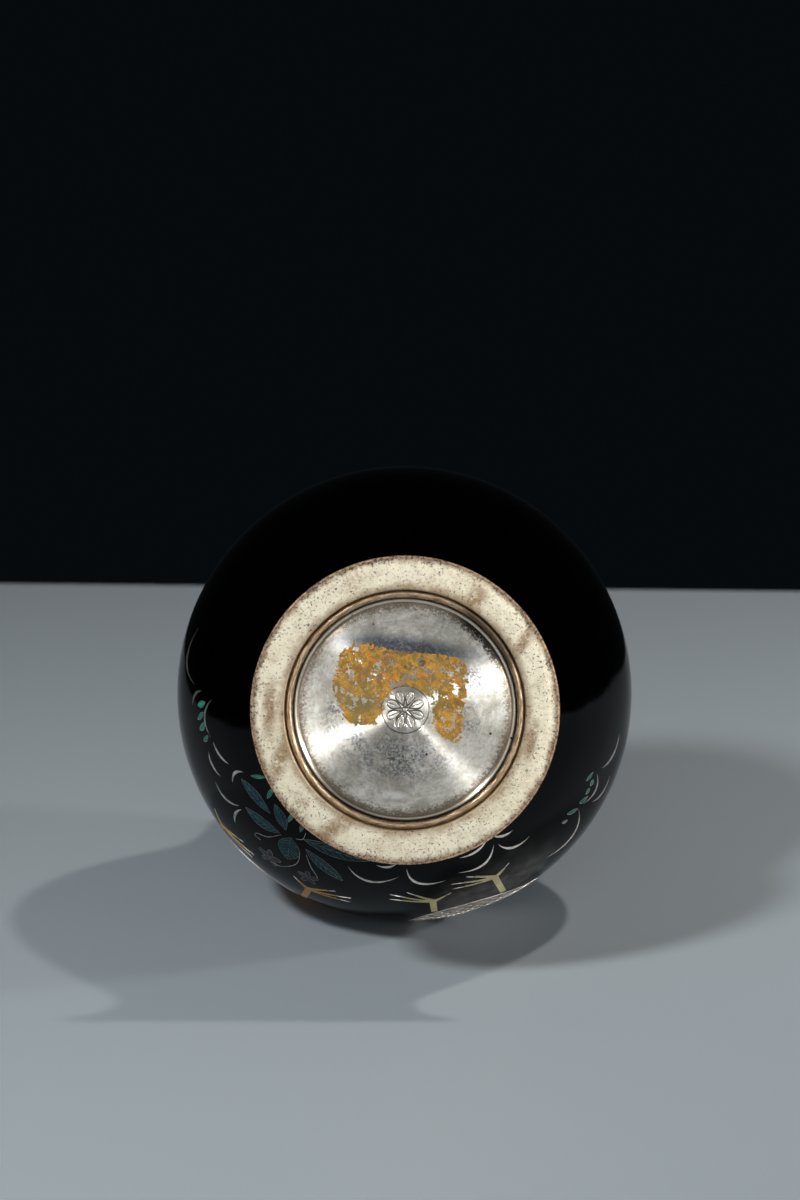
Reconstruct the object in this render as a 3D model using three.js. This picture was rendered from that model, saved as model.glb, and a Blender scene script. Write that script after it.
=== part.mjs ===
// Cloisonne vase: a spun copper body enamelled inside and out, on a flared foot of silvered brass,
// with a silver mouth rim and silver-wire and enamel decoration let into the black outer coat.
// Millimetres, +Z up. The origin is the centre of the foot's flat underside, and the decorated
// front faces -Y. Every piece is a separate mesh with a small gap to its neighbours.
import * as THREE from 'three';
import { mergeVertices } from 'three/addons/utils/BufferGeometryUtils.js';
import { TessellateModifier } from 'three/addons/modifiers/TessellateModifier.js';

// ---- Driving dimensions ----
const HEIGHT = 140; // foot underside to mouth
const BELLY_R = 70;
const BELLY_Z = 71.5;
const FOOT_R = 44.2;
const WAIST_R = 34.2; // narrowest place, where the foot meets the body
const WAIST_Z = 10.2;
const NECK_R = 34.6;
const BODY_TOP = HEIGHT - 3;
const ENAMEL = 1.0; // thickness of the black outer coat
const COPPER = 0.8;
const COUNTER_ENAMEL = 0.8; // lining inside the body
const FOOT_SHEET = 0.9;
const GAP = 0.3;
const SEGMENTS = 36; // facets round the axis
const BODY_STEPS = 13; // profile samples on each side of a shell

const COPPER_OFFSET = ENAMEL + GAP;
const LINING_OFFSET = COPPER_OFFSET + COPPER + GAP;
const WALL = LINING_OFFSET + COUNTER_ENAMEL;
const BEAD_R = 0.75 * FOOT_R; // crest of the solder bead round the recess
const BEAD_SECTION = 1.15;
const COLLAR_R = BEAD_R + BEAD_SECTION + GAP; // inner wall of the foot
const RECESS_DEPTH = 3.7; // from the resting plane up to the base disc
const DISC_THICKNESS = 0.8;
const FLOOR_Z = RECESS_DEPTH + DISC_THICKNESS + 1.7; // underside of the copper body's floor

const LIFT = GAP + 0.05; // decoration stands this far off the outer coat
const WIRE_HEIGHT = 0.4;
const FIELD_HEIGHT = 0.35;
const MAX_EDGE = 6; // longest flat edge in a piece bent round the body

const COLOURS = {
  black: [0x050607, 0.08, 0],
  copper: [0x9a5a38, 0.45, 1],
  lining: [0x1d3a40, 0.2, 0],
  silver: [0xc9c2b4, 0.35, 1],
  brass: [0xa5824e, 0.4, 1],
  paper: [0xc98a2c, 0.95, 0],
  teal: [0x0d4a50, 0.12, 0],
  green: [0x2f9a70, 0.12, 0],
  violet: [0x4a3350, 0.12, 0],
  ochre: [0xd9a441, 0.15, 0],
  cream: [0xe6dc8c, 0.15, 0],
  grey: [0x9c9a94, 0.15, 0],
  russet: [0x8a3a26, 0.15, 0],
};

const vase = new THREE.Group();

function addPiece(name, geometry, colourName) {
  const [color, roughness, metalness] = COLOURS[colourName];
  const mesh = new THREE.Mesh(geometry, new THREE.MeshStandardMaterial({ color, roughness, metalness }));
  mesh.name = name;
  vase.add(mesh);
}

// ---- Body outline: radius and height, from the waist up to the neck ----
const bodyOutline = new THREE.SplineCurve([
  new THREE.Vector2(WAIST_R, WAIST_Z),
  new THREE.Vector2(36, 14.5),
  new THREE.Vector2(44.5, 23.5),
  new THREE.Vector2(54.2, 34),
  new THREE.Vector2(62.6, 46),
  new THREE.Vector2(68.2, 58.5),
  new THREE.Vector2(BELLY_R, BELLY_Z),
  new THREE.Vector2(67.6, 84.5),
  new THREE.Vector2(60.8, 97),
  new THREE.Vector2(51.2, 107.5),
  new THREE.Vector2(41.8, 116),
  new THREE.Vector2(36.6, 124.5),
  new THREE.Vector2(NECK_R, BODY_TOP),
]);
const OUTLINE_LENGTH = bodyOutline.getLength();

// A point of the outline at a distance along it from the waist, moved outwards by `offset`.
function outlinePoint(distance, offset) {
  const t = THREE.MathUtils.clamp(distance / OUTLINE_LENGTH, 0, 1);
  const point = bodyOutline.getPointAt(t);
  const tangent = bodyOutline.getTangentAt(t);
  return point.add(new THREE.Vector2(tangent.y, -tangent.x).multiplyScalar(offset));
}

// Distance along the outline at which it reaches a height; the outline always rises.
function distanceAtHeight(height) {
  let low = 0;
  let high = OUTLINE_LENGTH;
  for (let i = 0; i < 30; i += 1) {
    const middle = (low + high) / 2;
    if (outlinePoint(middle, 0).y < height) low = middle;
    else high = middle;
  }
  return low;
}

function offsetOutline(offset) {
  const points = [];
  for (let i = 0; i <= BODY_STEPS; i += 1) {
    points.push(outlinePoint((OUTLINE_LENGTH * i) / BODY_STEPS, offset));
  }
  return points;
}

// ---- Turned pieces ----
function welded(geometry) {
  geometry.deleteAttribute('normal');
  geometry.deleteAttribute('uv');
  const merged = mergeVertices(geometry, 1e-4);
  merged.computeVertexNormals();
  return merged;
}

// `points` run anticlockwise seen with radius to the right and height up.
function turned(points) {
  const lathe = new THREE.LatheGeometry(points, SEGMENTS);
  lathe.rotateX(Math.PI / 2); // a lathe turns about Y
  return withoutSlivers(lathe);
}

// Drops the zero-area triangles that a lathe makes where its profile meets the axis.
function withoutSlivers(geometry) {
  const merged = welded(geometry);
  const kept = [];
  const index = merged.index.array;
  for (let i = 0; i < index.length; i += 3) {
    const [a, b, c] = [index[i], index[i + 1], index[i + 2]];
    if (a !== b && b !== c && c !== a) kept.push(a, b, c);
  }
  merged.setIndex(kept);
  return merged;
}

function closed(points) {
  return [...points, points[0].clone()];
}

function v2(pairs) {
  return pairs.map(([r, z]) => new THREE.Vector2(r, z));
}

function shell(outer, thickness) {
  return closed([...offsetOutline(-outer), ...offsetOutline(-outer - thickness).reverse()]);
}

function copperProfile() {
  const outside = offsetOutline(-COPPER_OFFSET);
  const inside = offsetOutline(-COPPER_OFFSET - COPPER).reverse();
  const collarR = outside[0].x;
  return [
    ...v2([[0, FLOOR_Z], [collarR, FLOOR_Z]]),
    ...outside,
    ...inside,
    ...v2([[collarR - COPPER, FLOOR_Z + COPPER], [0, FLOOR_Z + COPPER]]),
  ];
}

function liningProfile() {
  const outside = offsetOutline(-LINING_OFFSET);
  const inside = offsetOutline(-WALL).reverse();
  const base = FLOOR_Z + COPPER + GAP;
  return [
    ...v2([[0, base], [outside[0].x, base]]),
    ...outside,
    ...inside,
    ...v2([[inside[inside.length - 1].x, base + COUNTER_ENAMEL], [0, base + COUNTER_ENAMEL]]),
  ];
}

// Sheet-metal foot: a hollow flare outside, a flat resting annulus, and a collar round the recess.
function footProfile() {
  const edgeZ = 1.4;
  const flare = new THREE.QuadraticBezierCurve(
    new THREE.Vector2(FOOT_R, edgeZ),
    new THREE.Vector2(WAIST_R + 1.6, 2.6),
    new THREE.Vector2(WAIST_R, WAIST_Z - GAP),
  );
  const outside = flare.getPoints(6);
  const inside = outside.map((p) => new THREE.Vector2(p.x - FOOT_SHEET, p.y)).reverse();
  inside.pop();
  return closed([
    ...v2([[COLLAR_R, 0.5], [COLLAR_R + 0.5, 0], [FOOT_R - 0.5, 0], [FOOT_R, 0.5]]),
    ...outside,
    ...inside,
    ...v2([
      [FOOT_R - 1.8, FOOT_SHEET],
      [COLLAR_R + FOOT_SHEET, FOOT_SHEET],
      [COLLAR_R + FOOT_SHEET, RECESS_DEPTH],
      [COLLAR_R, RECESS_DEPTH],
    ]),
  ]);
}

function ringProfile(centreR, centreZ, sectionR, sides) {
  const points = [];
  for (let i = 0; i < sides; i += 1) {
    const angle = (2 * Math.PI * i) / sides;
    points.push(
      new THREE.Vector2(centreR + sectionR * Math.cos(angle), centreZ + sectionR * Math.sin(angle)),
    );
  }
  return closed(points);
}

function rimProfile() {
  const z = BODY_TOP + GAP;
  const inner = NECK_R - WALL - 0.6;
  const outer = NECK_R + 0.9;
  return closed(v2([
    [inner, z + 0.2],
    [NECK_R - WALL, z],
    [NECK_R, z],
    [outer, z + 0.9],
    [outer - 0.5, HEIGHT - 0.3],
    [outer - 1.8, HEIGHT],
    [inner + 1.2, HEIGHT],
    [inner, HEIGHT - 0.7],
  ]));
}

function discProfile() {
  const r = COLLAR_R - GAP;
  return v2([[0, RECESS_DEPTH], [r, RECESS_DEPTH], [r, RECESS_DEPTH + DISC_THICKNESS],
    [0, RECESS_DEPTH + DISC_THICKNESS]]);
}

addPiece('copper_body', turned(copperProfile()), 'copper');
addPiece('black_enamel_coat', turned(shell(0, ENAMEL)), 'black');
addPiece('counter_enamel_lining', turned(liningProfile()), 'lining');
addPiece('mouth_rim', turned(rimProfile()), 'silver');
addPiece('foot_ring', turned(footProfile()), 'silver');
const beadZ = RECESS_DEPTH - GAP - BEAD_SECTION;
addPiece('recess_bead', turned(ringProfile(BEAD_R, beadZ, BEAD_SECTION, 8)), 'brass');
addPiece('base_disc', turned(discProfile()), 'silver');

// ---- The remains of a glued paper label, on the underside of the base disc ----
function labelRemnant() {
  const thickness = 0.3;
  const edge = v2([
    [18, 17], [12.5, 19], [0.5, 16.5], [-10, 16], [-17.5, 12.5], [-17, 1], [-15, -9], [-8.5, -5.5],
    [-7.5, 3], [0.5, 7], [5, 3.5], [9, -3.5], [16, -3.5], [20, 5], [19.5, 12],
  ]);
  const shape = new THREE.Shape();
  shape.moveTo(edge[0].x, edge[0].y);
  shape.splineThru([...edge.slice(1), edge[0]]);
  const geometry = new THREE.ExtrudeGeometry(shape, {
    depth: thickness,
    bevelEnabled: false,
    curveSegments: 3,
  });
  geometry.translate(0, 0, RECESS_DEPTH - GAP - thickness);
  return welded(geometry);
}

addPiece('label_remnant', labelRemnant(), 'paper');

// ---- Decoration bent round the body ----
// A shape's x runs round the body and its y up along the outline, both in millimetres from an
// anchor given as an angle in degrees about +Z and a height.
function bent(shape, [angle, height], thickness) {
  const flat = new THREE.ExtrudeGeometry(shape, {
    depth: thickness,
    bevelEnabled: false,
    curveSegments: 5,
  });
  const fine = new TessellateModifier(MAX_EDGE, 6).modify(welded(flat).toNonIndexed());
  const start = distanceAtHeight(height);
  const position = fine.attributes.position;
  for (let i = 0; i < position.count; i += 1) {
    const distance = start + position.getY(i);
    const surfaceR = outlinePoint(distance, 0).x;
    const theta = THREE.MathUtils.degToRad(angle) + position.getX(i) / surfaceR;
    const point = outlinePoint(distance, LIFT + position.getZ(i));
    position.setXYZ(i, point.x * Math.cos(theta), point.x * Math.sin(theta), point.y);
  }
  return welded(fine);
}

// Millimetres round and up from anchor `a` to place `b`.
function offsetBetween(a, b) {
  const up = distanceAtHeight(b[1]) - distanceAtHeight(a[1]);
  const middleR = outlinePoint(distanceAtHeight((a[1] + b[1]) / 2), 0).x;
  return new THREE.Vector2(THREE.MathUtils.degToRad(b[0] - a[0]) * middleR, up);
}

// A blade from (0, 0) to `tip` with both edges bulging; `rise` bends it and `width` is its widest.
function blade(tip, width, rise) {
  const side = new THREE.Vector2(-tip.y, tip.x).normalize();
  const middle = tip.clone().multiplyScalar(0.5).add(side.clone().multiplyScalar(2 * rise));
  const left = middle.clone().add(side.clone().multiplyScalar(width));
  const right = middle.clone().add(side.clone().multiplyScalar(-width));
  const shape = new THREE.Shape();
  shape.moveTo(0, 0);
  shape.quadraticCurveTo(right.x, right.y, tip.x, tip.y);
  shape.quadraticCurveTo(left.x, left.y, 0, 0);
  return shape;
}

// Silver scallops of the ground: start and end places, and how far each arches upwards.
const GROUND_ARCS = [
  [[18.5, 52], [4, 46.5], 6.5], [[2.5, 43], [-1.8, 48.4], 1.4], [[0.5, 38], [-11, 40.4], 3.2],
  [[-12.2, 39.6], [-19.5, 35.5], 1], [[-14.8, 43], [-22.5, 41.2], 1.2],
  [[-23.4, 31.4], [-25.4, 37.2], 1.6], [[-23.5, 45], [-32.2, 39.8], 2.4],
  [[-33.8, 39.8], [-36.4, 47.2], 1.2], [[-70.8, 30.6], [-88.2, 31], 4.6],
  [[-80, 27.6], [-87, 26.4], 1.2], [[-90.6, 28], [-103.5, 34.4], 4.2],
  [[-109.5, 27.5], [-121, 25.8], 1.5], [[-107.5, 32.6], [-121.6, 28.4], 4],
  [[-123.6, 25.6], [-130.6, 28.4], 1.2], [[-123.4, 29.2], [-133.2, 34.4], 2.8],
  [[-131.4, 49.4], [-147.4, 44.4], 6.4], [[-149.6, 45.4], [-158.8, 44.8], 3.6],
  [[-151, 49.8], [-159, 54.4], 2.4], [[-160.6, 46.4], [-170.6, 52.4], 2.2],
];
const ARC_WIDTH = 0.95;

GROUND_ARCS.forEach(([from, to, rise], i) => {
  const tip = offsetBetween(from, to);
  const geometry = bent(blade(tip, ARC_WIDTH, -rise), from, WIRE_HEIGHT);
  addPiece(`ground_wire_${String(i + 1).padStart(2, '0')}`, geometry, 'silver');
});

// Leaf spray at the front right: base, tip, width and bend of each leaf.
const LEAVES = [
  ['leaf_1', [-39.6, 30.9], [-24.8, 33.2], 3.8, -0.6, 'teal'],
  ['leaf_2', [-46.4, 33.4], [-33.4, 37.6], 4.2, 0.5, 'teal'],
  ['leaf_3', [-47, 31], [-38, 27.6], 4.0, -0.4, 'teal'],
  ['leaf_4', [-50, 31.9], [-53.8, 40.4], 7.4, 0, 'teal'],
  ['leaf_5', [-53.4, 29.4], [-77, 26.6], 5.4, 0.8, 'teal'],
  ['leaf_6', [-56, 32], [-71.6, 37.2], 4.2, 0.3, 'teal'],
  ['small_leaf_1', [-27.8, 25.4], [-25.2, 29.6], 1.2, 0, 'green'],
  ['small_leaf_2', [-32.6, 25], [-34.8, 28.6], 1.4, 0, 'green'],
  ['small_leaf_3', [-44.4, 25], [-45.6, 28.4], 1.2, 0, 'green'],
  ['small_leaf_4', [-49.6, 25], [-51, 28.2], 1.2, 0, 'green'],
];

LEAVES.forEach(([name, base, tip, width, rise, colour]) => {
  addPiece(name, bent(blade(offsetBetween(base, tip), width, rise), base, FIELD_HEIGHT), colour);
});

// A five-petalled flower head as one outline.
function flower(radius) {
  const petals = 5;
  const samples = 6 * petals;
  const points = [];
  for (let i = 0; i < samples; i += 1) {
    const angle = (2 * Math.PI * i) / samples;
    const r = radius * (0.72 + 0.28 * Math.cos(petals * angle));
    points.push(new THREE.Vector2(r * Math.cos(angle), r * Math.sin(angle)));
  }
  return new THREE.Shape(points);
}

addPiece('flower_1', bent(flower(4.2), [-49.5, 46], FIELD_HEIGHT), 'violet');
addPiece('flower_2', bent(flower(3.6), [-61.5, 43], FIELD_HEIGHT), 'violet');

// ---- Birds: x forwards, y up, in millimetres from the ground under the body ----
function outline(first, curves) {
  const shape = new THREE.Shape();
  shape.moveTo(first[0], first[1]);
  curves.forEach((c) => shape.quadraticCurveTo(c[0], c[1], c[2], c[3]));
  return shape;
}

const BIRD_PARTS = {
  body: outline([15.5, 33], [[22, 21, 12, 12.5], [0, 5, -14, 14], [-22, 19, -27, 27], [-10, 19, 4, 25],
    [9, 29, 15.5, 33]]),
  wing: outline([8, 34.5], [[2, 24, -12, 25], [-22, 26, -32, 34], [-20, 38, -8, 40], [4, 41, 8, 34.5]]),
  tail: outline([-29, 28], [[-36, 26, -43, 34], [-47, 42, -45, 52], [-40, 46, -38, 40], [-34, 36, -29, 28]]),
  neck: outline([9.5, 36.5], [[13, 36, 17, 35.5], [20.5, 43, 21.5, 48], [26.5, 48.5, 27, 50.5],
    [24.5, 51.5, 23, 53.5], [18.5, 57, 15.5, 52], [14, 44, 9.5, 36.5]]),
};
const WATTLE = outline([22, 47], [[25, 46, 24.5, 43], [22, 41.5, 21.6, 44.5], [21.6, 46, 22, 47]]);

// One leg with three front toes and a hind toe, from the hub where the toes meet.
function legShape(length) {
  const points = v2([
    [-0.8, length], [-1, 0.8], [-4, -1.7], [-3.7, -2.3], [-0.5, -0.7], [4.8, -5.3], [5.3, -4.8],
    [1.7, -1.1], [8.8, -4.4], [9.1, -3.7], [2.4, -0.4], [9.1, -2], [9.3, -1.3], [1.1, 0.8], [1, length],
  ]);
  return new THREE.Shape(points);
}

function mirrored(shape, facing) {
  const points = shape.getPoints(4).map((p) => new THREE.Vector2(p.x * facing, p.y));
  return new THREE.Shape(points);
}

function addBird(name, anchor, facing, legs, colours) {
  Object.entries(BIRD_PARTS).forEach(([part, shape]) => {
    addPiece(`${name}_${part}`, bent(mirrored(shape, facing), anchor, FIELD_HEIGHT), colours[part]);
  });
  addPiece(`${name}_wattle`, bent(mirrored(WATTLE, facing), anchor, FIELD_HEIGHT), 'russet');
  legs.forEach(([hub, length], i) => {
    const leg = mirrored(legShape(length), facing);
    addPiece(`${name}_leg_${i + 1}`, bent(leg, hub, FIELD_HEIGHT), colours.leg);
  });
}

addBird('left_bird', [-106, 43], 1, [[[-98, 43.6], 9], [[-117, 41], 13.8]],
  { body: 'grey', wing: 'grey', tail: 'grey', neck: 'cream', leg: 'cream' });
addBird('right_bird', [-51.5, 54], -1, [[[-63.3, 49.8], 16], [[-35.5, 58], 11.4]],
  { body: 'russet', wing: 'teal', tail: 'green', neck: 'ochre', leg: 'ochre' });

export default vase;
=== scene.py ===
"""Cloisonne vase lying on its belly with its base towards the camera: fine surfaces, finishes and light.

Metres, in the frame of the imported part: +Z runs from the foot to the mouth and -Y is the decorated front.
Places on the coat are given as (angle about +Z in degrees, height in mm), as in the part's own source.
"""
import math
import random

import bmesh
import bpy
import numpy as np
from mathutils import Matrix, Vector, noise


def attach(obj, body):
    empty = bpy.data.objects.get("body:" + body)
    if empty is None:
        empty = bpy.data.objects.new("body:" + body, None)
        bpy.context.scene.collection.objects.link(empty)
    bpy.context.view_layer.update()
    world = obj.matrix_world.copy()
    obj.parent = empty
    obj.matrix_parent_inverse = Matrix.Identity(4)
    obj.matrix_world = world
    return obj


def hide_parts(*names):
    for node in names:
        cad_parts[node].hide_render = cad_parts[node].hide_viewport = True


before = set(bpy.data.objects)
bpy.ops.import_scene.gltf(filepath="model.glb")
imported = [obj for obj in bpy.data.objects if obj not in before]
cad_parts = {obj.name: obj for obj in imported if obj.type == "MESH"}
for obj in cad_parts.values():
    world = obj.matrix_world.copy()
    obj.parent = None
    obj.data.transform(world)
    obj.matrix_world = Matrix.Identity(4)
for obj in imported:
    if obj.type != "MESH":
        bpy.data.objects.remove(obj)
scene = bpy.context.scene
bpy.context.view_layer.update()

# ---- Driving dimensions, in millimetres ----
MM = 0.001
HEIGHT = 140.0
BODY_TOP = 137.0
ENAMEL = 1.0
WALL = 4.2  # from the coat's face to the inside of the lining
LINING = 0.8
FOOT_R = 44.2
WAIST_R = 34.2
NECK_R = 34.6
SHEET = 0.9
ROLLED_EDGE = 0.62  # radius of the foot's outer edge
BEAD_R = 0.75 * FOOT_R
BEAD_SECTION = 1.15
BEAD_Z = 2.25
COLLAR_R = BEAD_R + BEAD_SECTION + 0.3
DISC_Z = 3.7
DISC_THICKNESS = 0.8
RIDGE_R = 31.35  # the disc's outermost turned ridge
GROOVE_R = 30.45
STAMP_R = 6.8
STAMP_LINE = 0.26  # half width and depth of its struck lines
STAMP_PETALS = 8
TURNS = 300  # facets round the axis
PROUD = 0.03  # decoration stands this far out of the coat
WIRE_PROUD = 0.07
SUNK = 0.15

OUTLINE_KNOTS = [
    (WAIST_R, 10.2), (36, 14.5), (44.5, 23.5), (54.2, 34), (62.6, 46), (68.2, 58.5), (70, 71.5),
    (67.6, 84.5), (60.8, 97), (51.2, 107.5), (41.8, 116), (36.6, 124.5), (NECK_R, BODY_TOP),
]


# ---- Curves ----
def catmull_rom(knots, samples):
    """A smooth curve through the knots, with its first and last knots doubled."""
    knots = np.array(knots, float)
    last = len(knots) - 1
    t = np.linspace(0, last, samples)
    i = np.minimum(t.astype(int), last - 1)
    w = (t - i)[:, None]
    before = knots[np.maximum(i - 1, 0)]
    start = knots[i]
    end = knots[i + 1]
    after = knots[np.minimum(i + 2, last)]
    leave = (end - before) / 2
    arrive = (after - start) / 2
    cubic = (2 * start - 2 * end + leave + arrive) * w**3
    square = (3 * end - 3 * start - 2 * leave - arrive) * w**2
    return cubic + square + leave * w + start


OUTLINE = catmull_rom(OUTLINE_KNOTS, 2401)
OUTLINE_STEPS = np.linalg.norm(np.diff(OUTLINE, axis=0), axis=1)
ALONG = np.concatenate([[0], np.cumsum(OUTLINE_STEPS)])
TANGENTS = np.gradient(OUTLINE, ALONG, axis=0)


def outline_point(distance, offset=0.0):
    """Radius and height, in mm, at a distance along the coat's outline, moved outwards by `offset`."""
    r, z = (np.interp(distance, ALONG, OUTLINE[:, k]) for k in (0, 1))
    tangent_r, tangent_z = (np.interp(distance, ALONG, TANGENTS[:, k]) for k in (0, 1))
    return r + tangent_z * offset, z - tangent_r * offset


def distance_at(height):
    return float(np.interp(height, OUTLINE[:, 1], ALONG))


def on_coat(anchor, x, y, offset):
    """The point x mm round and y mm up from an anchor on the coat, `offset` mm off its face, in metres."""
    angle, height = anchor
    distance = distance_at(height) + y
    surface_r, _ = outline_point(distance)
    r, z = outline_point(distance, offset)
    theta = math.radians(angle) + x / surface_r
    return Vector((r * math.cos(theta), r * math.sin(theta), z)) * MM


def between(start, end):
    """Millimetres round and up from one (angle, height) place to another."""
    up = distance_at(end[1]) - distance_at(start[1])
    middle_r, _ = outline_point(distance_at((start[1] + end[1]) / 2))
    return math.radians(end[0] - start[0]) * float(middle_r), up


def bezier(start, control, end, steps):
    """Points of a quadratic curve, without its first one."""
    points = []
    for i in range(1, steps + 1):
        t = i / steps
        a, b, c = (1 - t) ** 2, 2 * t * (1 - t), t * t
        points.append(tuple(a * p + b * q + c * s for p, q, s in zip(start, control, end)))
    return points


def arc(centre_r, centre_z, radius, start, end, steps):
    """Points of a circle's arc in a profile; the angles are in degrees from outwards towards +Z."""
    angles = np.radians(np.linspace(start, end, steps + 1))
    return [(centre_r + radius * math.cos(a), centre_z + radius * math.sin(a)) for a in angles]


# ---- Mesh building ----
def add_object(name, mesh, finish, stands_for=(), smooth_angle=35):
    """Puts a piece in the scene with its finish, the body it rides on and what it stands for."""
    mesh.name = name
    mesh.validate()
    if smooth_angle:
        mesh.shade_smooth()
        mesh.set_sharp_from_angle(angle=math.radians(smooth_angle))
    piece = bpy.data.objects.new(name, mesh)
    scene.collection.objects.link(piece)
    mesh.materials.append(finish)
    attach(piece, "root")
    if stands_for:
        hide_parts(*stands_for)
    return piece


def mesh_from(vertices, faces):
    mesh = bpy.data.meshes.new("piece")
    mesh.from_pydata([tuple(v) for v in vertices], [], faces)
    return mesh


def closed_mesh(body, mesh):
    """Moves a bmesh into a mesh, with its faces turned outwards."""
    bmesh.ops.recalc_face_normals(body, faces=body.faces[:])
    body.to_mesh(mesh)
    body.free()
    return mesh


def turned(profile, relief=None, turns=TURNS):
    """A closed body turned from a profile in mm. `relief(r, z, theta)` gives a small move in r and z."""
    vertices = []
    for r, z in profile:
        for k in range(turns):
            theta = 2 * math.pi * k / turns
            dr, dz = relief(r, z, theta) if relief and r > 0 else (0.0, 0.0)
            vertices.append(((r + dr) * math.cos(theta) * MM, (r + dr) * math.sin(theta) * MM, (z + dz) * MM))
    faces = []
    rows = len(profile)
    opens_on_axis = profile[0][0] == 0
    for i in range(rows - 1 if opens_on_axis else rows):
        below, above = i * turns, (i + 1) % rows * turns
        for k in range(turns):
            after = (k + 1) % turns
            faces.append((below + k, below + after, above + after, above + k))
    mesh = mesh_from(vertices, faces)
    body = bmesh.new()
    body.from_mesh(mesh)
    bmesh.ops.remove_doubles(body, verts=body.verts[:], dist=1e-7)
    return closed_mesh(body, mesh)


def offset_outline(offset, steps):
    return [tuple(map(float, outline_point(d, offset))) for d in np.linspace(0, ALONG[-1], steps)]


def plate(outline, anchor, proud=PROUD, cell=1.6):
    """A thin closed plate, cut flat in mm and bent onto the coat. Cuts every `cell` mm let it bend."""
    body = bmesh.new()
    body.faces.new([body.verts.new((x, y, 0)) for x, y in outline])
    body.normal_update()
    bmesh.ops.triangulate(body, faces=body.faces[:], ngon_method="EAR_CLIP")
    for axis in (0, 1):
        values = [p[axis] for p in outline]
        normal = Vector((1, 0, 0)) if axis == 0 else Vector((0, 1, 0))
        for k in range(math.ceil(min(values) / cell), math.floor(max(values) / cell) + 1):
            parts = body.verts[:] + body.edges[:] + body.faces[:]
            bmesh.ops.bisect_plane(body, geom=parts, dist=1e-5, plane_co=normal * k * cell, plane_no=normal)
    back = bmesh.ops.extrude_face_region(body, geom=body.faces[:])["geom"]
    for vertex in body.verts:
        vertex.co.z = proud
    for vertex in (g for g in back if isinstance(g, bmesh.types.BMVert)):
        vertex.co.z = -SUNK
    for vertex in body.verts:
        vertex.co = on_coat(anchor, *vertex.co)
    bmesh.ops.remove_doubles(body, verts=body.verts[:], dist=1e-8)
    return closed_mesh(body, bpy.data.meshes.new("piece"))


def wire_body(body, anchor, path, width, taper):
    """Adds a wire along a path in mm to a bmesh. `taper` thins both ends by that share; 0 closes a loop."""
    looped = taper == 0
    path = [Vector(p).to_2d() for p in path]
    count = len(path)
    rings = []
    for i, point in enumerate(path):
        before = path[(i - 1) % count] if looped else path[max(i - 1, 0)]
        after = path[(i + 1) % count] if looped else path[min(i + 1, count - 1)]
        along = (after - before).normalized()
        side = Vector((-along.y, along.x))
        share = 1 - taper * abs(2 * i / max(count - 1, 1) - 1) ** 2
        corners = []
        for half, height in ((0.36, WIRE_PROUD), (0.5, -SUNK), (-0.5, -SUNK), (-0.36, WIRE_PROUD)):
            flat = point + side * (half * width * share)
            corners.append(body.verts.new(on_coat(anchor, flat.x, flat.y, height)))
        rings.append(corners)
    for i in range(count if looped else count - 1):
        here, there = rings[i], rings[(i + 1) % count]
        for k in range(4):
            body.faces.new((here[k], there[k], there[(k + 1) % 4], here[(k + 1) % 4]))
    if not looped:
        body.faces.new(rings[0])
        body.faces.new(rings[-1][::-1])


def wires(name, anchor, runs, finish=None):
    """One piece holding several wires about an anchor: each run is (path, width, taper)."""
    body = bmesh.new()
    for run in runs:
        wire_body(body, anchor, *run)
    mesh = closed_mesh(body, bpy.data.meshes.new("piece"))
    return add_object(name, mesh, finish or SILVER_WIRE, smooth_angle=50)


def resampled(points, step, looped=False):
    """The same path with points about `step` apart."""
    points = [Vector(p).to_2d() for p in points]
    if looped:
        points.append(points[0])
    lengths = [0.0]
    for a, b in zip(points, points[1:]):
        lengths.append(lengths[-1] + (b - a).length)
    count = max(2, round(lengths[-1] / step))
    at = np.linspace(0, lengths[-1], count + 1)
    xs = np.interp(at, lengths, [p.x for p in points])
    ys = np.interp(at, lengths, [p.y for p in points])
    path = list(zip(xs, ys))
    return path[:-1] if looped else path


# ---- Finishes ----
class NodeTree:
    """Short ways to add nodes. A keyword names an input, and its value is a number, a colour or a socket."""

    def __init__(self, tree):
        self.tree = tree

    def node(self, kind, settings=None, **links):
        made = self.tree.nodes.new(kind)
        for key, value in (settings or {}).items():
            setattr(made, key, value)
        for key, value in links.items():
            self.feed(made.inputs[key.replace("_", " ")], value)
        return made

    def feed(self, socket, value):
        if isinstance(value, bpy.types.NodeSocket):
            self.tree.links.new(value, socket)
        else:
            socket.default_value = value

    def mix_shaders(self, factor, first, second):
        made = self.node("ShaderNodeMixShader")
        for socket, value in zip(made.inputs, (factor, first, second)):
            self.feed(socket, value)
        return made.outputs[0]


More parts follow.
